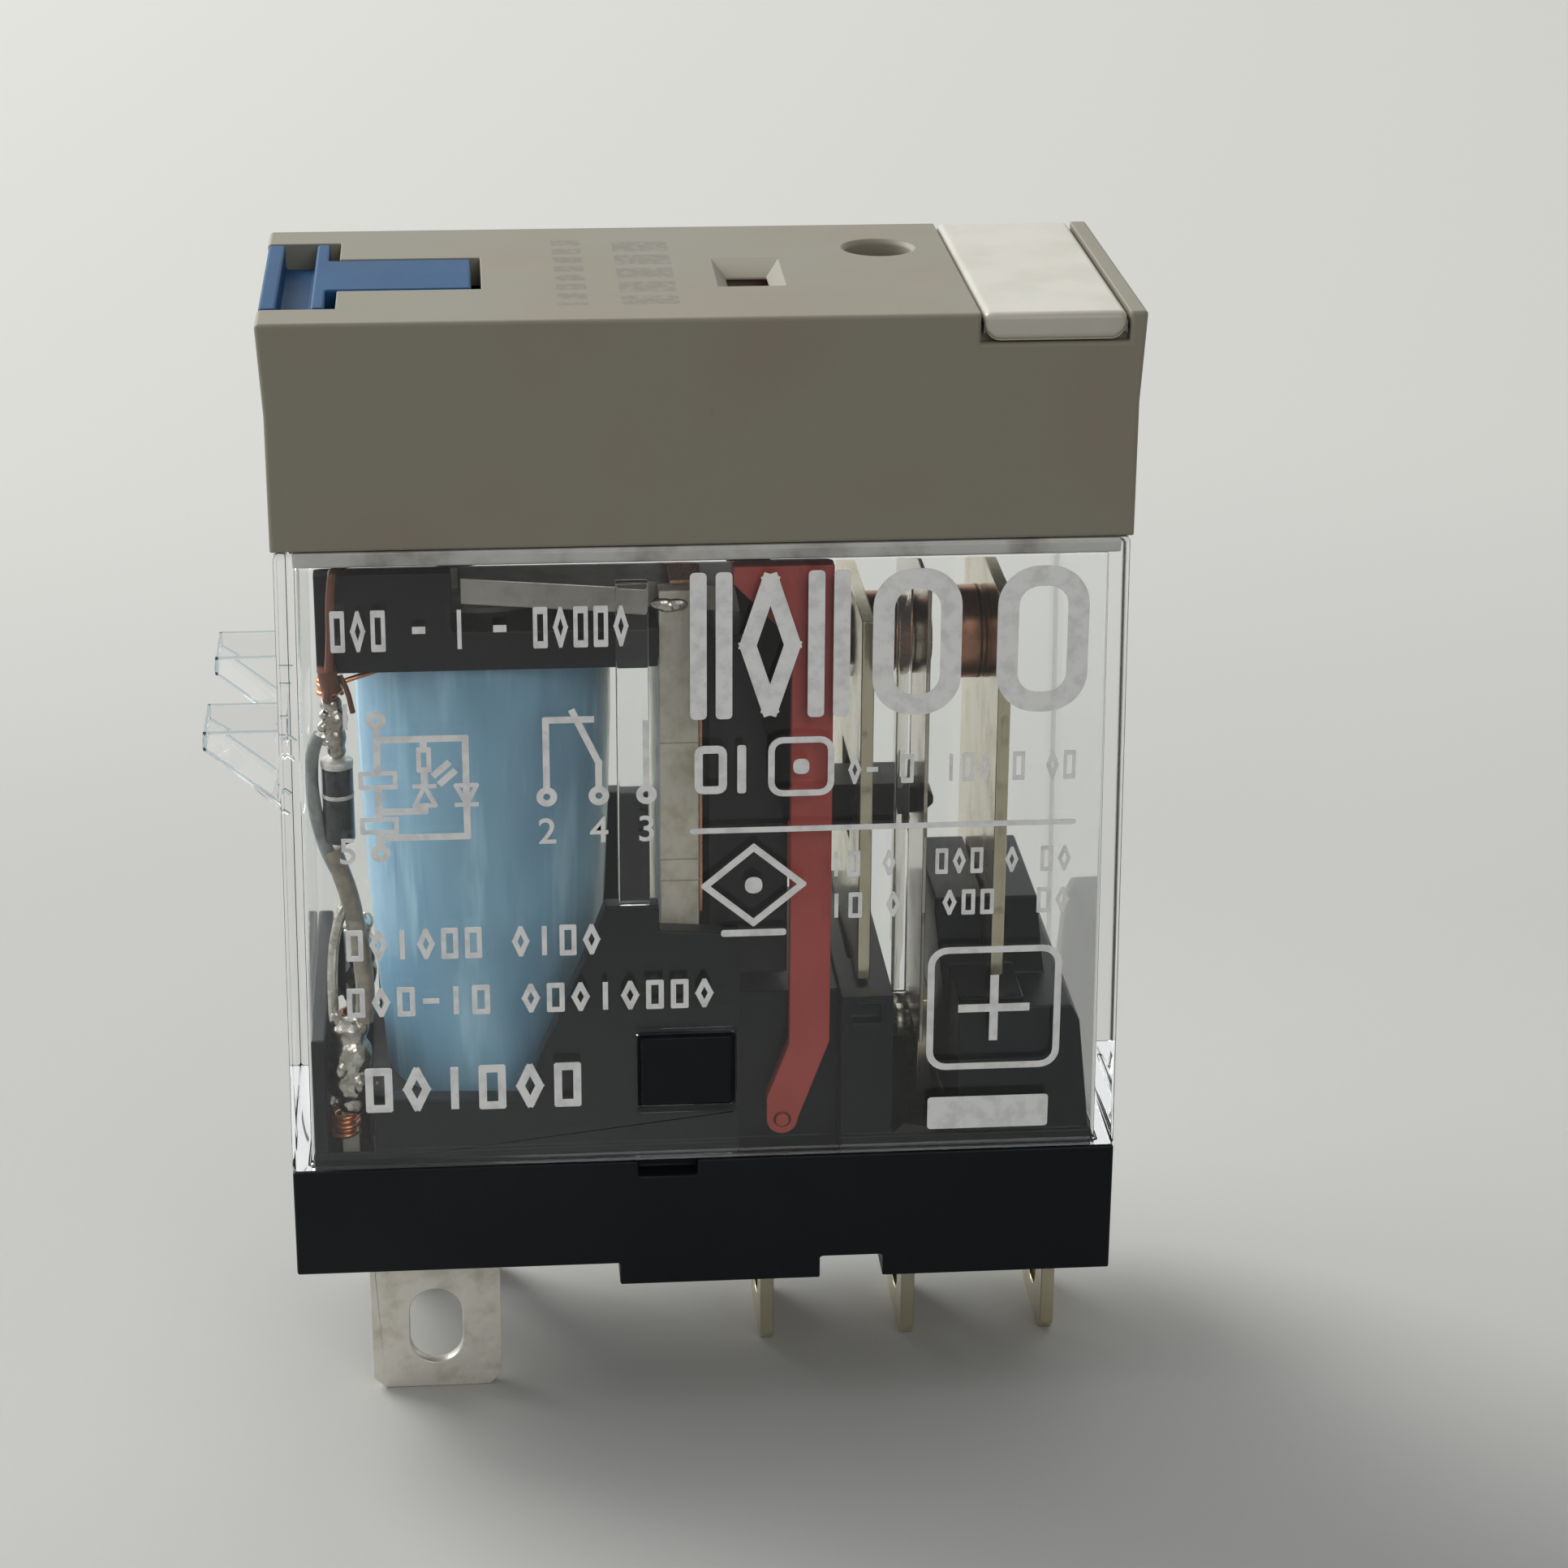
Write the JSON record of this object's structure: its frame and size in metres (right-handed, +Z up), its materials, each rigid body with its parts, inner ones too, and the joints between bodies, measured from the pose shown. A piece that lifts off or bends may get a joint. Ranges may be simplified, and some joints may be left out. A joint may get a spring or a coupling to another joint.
{
  "type": "industrial control relay",
  "caption": "Plug-in changeover relay with clear case, grey cover, press-to-test lever, flag indicator, lamp, hinged armature over a taped coil, and blade terminals.",
  "frame": {"origin": "middle of the relay's length and width, on the flat underside of the base lugs that seats on the socket", "axes": "+X along the length towards the contact end, -Y out of the printed front face, +Z up towards the cover; the blades point along -Z"},
  "size_m": [0.0315, 0.013, 0.0403],
  "materials": {
    "base_black": "fine moulded texture",
    "case_clear": "clear polished plastic",
    "cover_grey": "fine spark-eroded texture",
    "plate_white": "satin",
    "lever_blue": "satin moulded",
    "bobbin_black": "satin",
    "winding_copper": "bare copper",
    "tape_blue": "glossy film",
    "core_iron": "plated",
    "yoke_steel": "stamped edge, plated",
    "spring_copper": "rolled copper alloy",
    "armature_steel": "plated, dull",
    "card_black": "satin",
    "contact_silver": "silver alloy",
    "contact_copper": "copper with silver face",
    "blade_brass": "tinned brass",
    "blade_tin": "tinned",
    "solder": "solder with flux film",
    "diode_body": "gloss",
    "resistor_body": "lacquer",
    "lamp_lens": "tinted epoxy",
    "board_green": "solder mask",
    "lever_red": "satin moulded"
  },
  "bodies": {
    "frame": {"base": "base_black", "clear_case": "case_clear", "top_cover": "cover_grey", "nameplate": "plate_white", "bobbin": "bobbin_black", "coil_winding": "winding_copper", "coil_tape": "tape_blue", "core": "core_iron", "yoke": "yoke_steel", "hinge_spring": "spring_copper", "spring_rivets": "blade_brass", "nc_contact": "contact_copper", "no_contact": "contact_copper", "nc_terminal": "blade_brass", "no_terminal": "blade_brass", "com_terminal": "blade_brass", "coil_terminal_front": "blade_tin", "coil_terminal_rear": "blade_tin", "coil_pins": "blade_tin", "coil_leads": "winding_copper", "solder_joints": "solder", "diode": "diode_body", "resistor": "resistor_body", "lamp": "lamp_lens", "lamp_board": "board_green", "lamp_wires": "winding_copper", "lever_pin": "lever_red"},
    "armature": {"armature": "armature_steel", "card": "card_black"},
    "contact_spring": {"moving_spring": "spring_copper", "moving_contact": "contact_silver"},
    "indicator": {"indicator_lever": "lever_red"},
    "press": {"test_lever": "lever_blue"}
  },
  "joints": [
    {"name": "armature_pull", "type": "hinge", "parent": "frame", "child": "armature", "pos_m": [-0.0008, 0, 0.0245], "axis": [0, -1, 0], "range_deg": [0, 4.5], "stiffness_Nm_per_rad": 0.005, "springref_deg": -5.73},
    {"name": "contact_swing", "type": "hinge", "parent": "frame", "child": "contact_spring", "pos_m": [0.00772, 0, 0.0075], "axis": [0, 1, 0], "range_deg": [0, 2.57]},
    {"name": "indicator_swing", "type": "hinge", "parent": "frame", "child": "indicator", "pos_m": [0.0027, 0, 0.0061], "axis": [0, 1, 0], "range_deg": [0, 3.67]},
    {"name": "test_press", "type": "hinge", "parent": "frame", "child": "press", "pos_m": [-0.0131, 0, 0.0335], "axis": [0, 1, 0], "range_deg": [0, 7.01]}
  ],
  "couplings": [
    {"joint": "contact_swing", "follows": "armature_pull", "ratio": 0.571},
    {"joint": "indicator_swing", "follows": "armature_pull", "ratio": 0.815},
    {"joint": "test_press", "follows": "armature_pull", "ratio": 1.556}
  ]
}
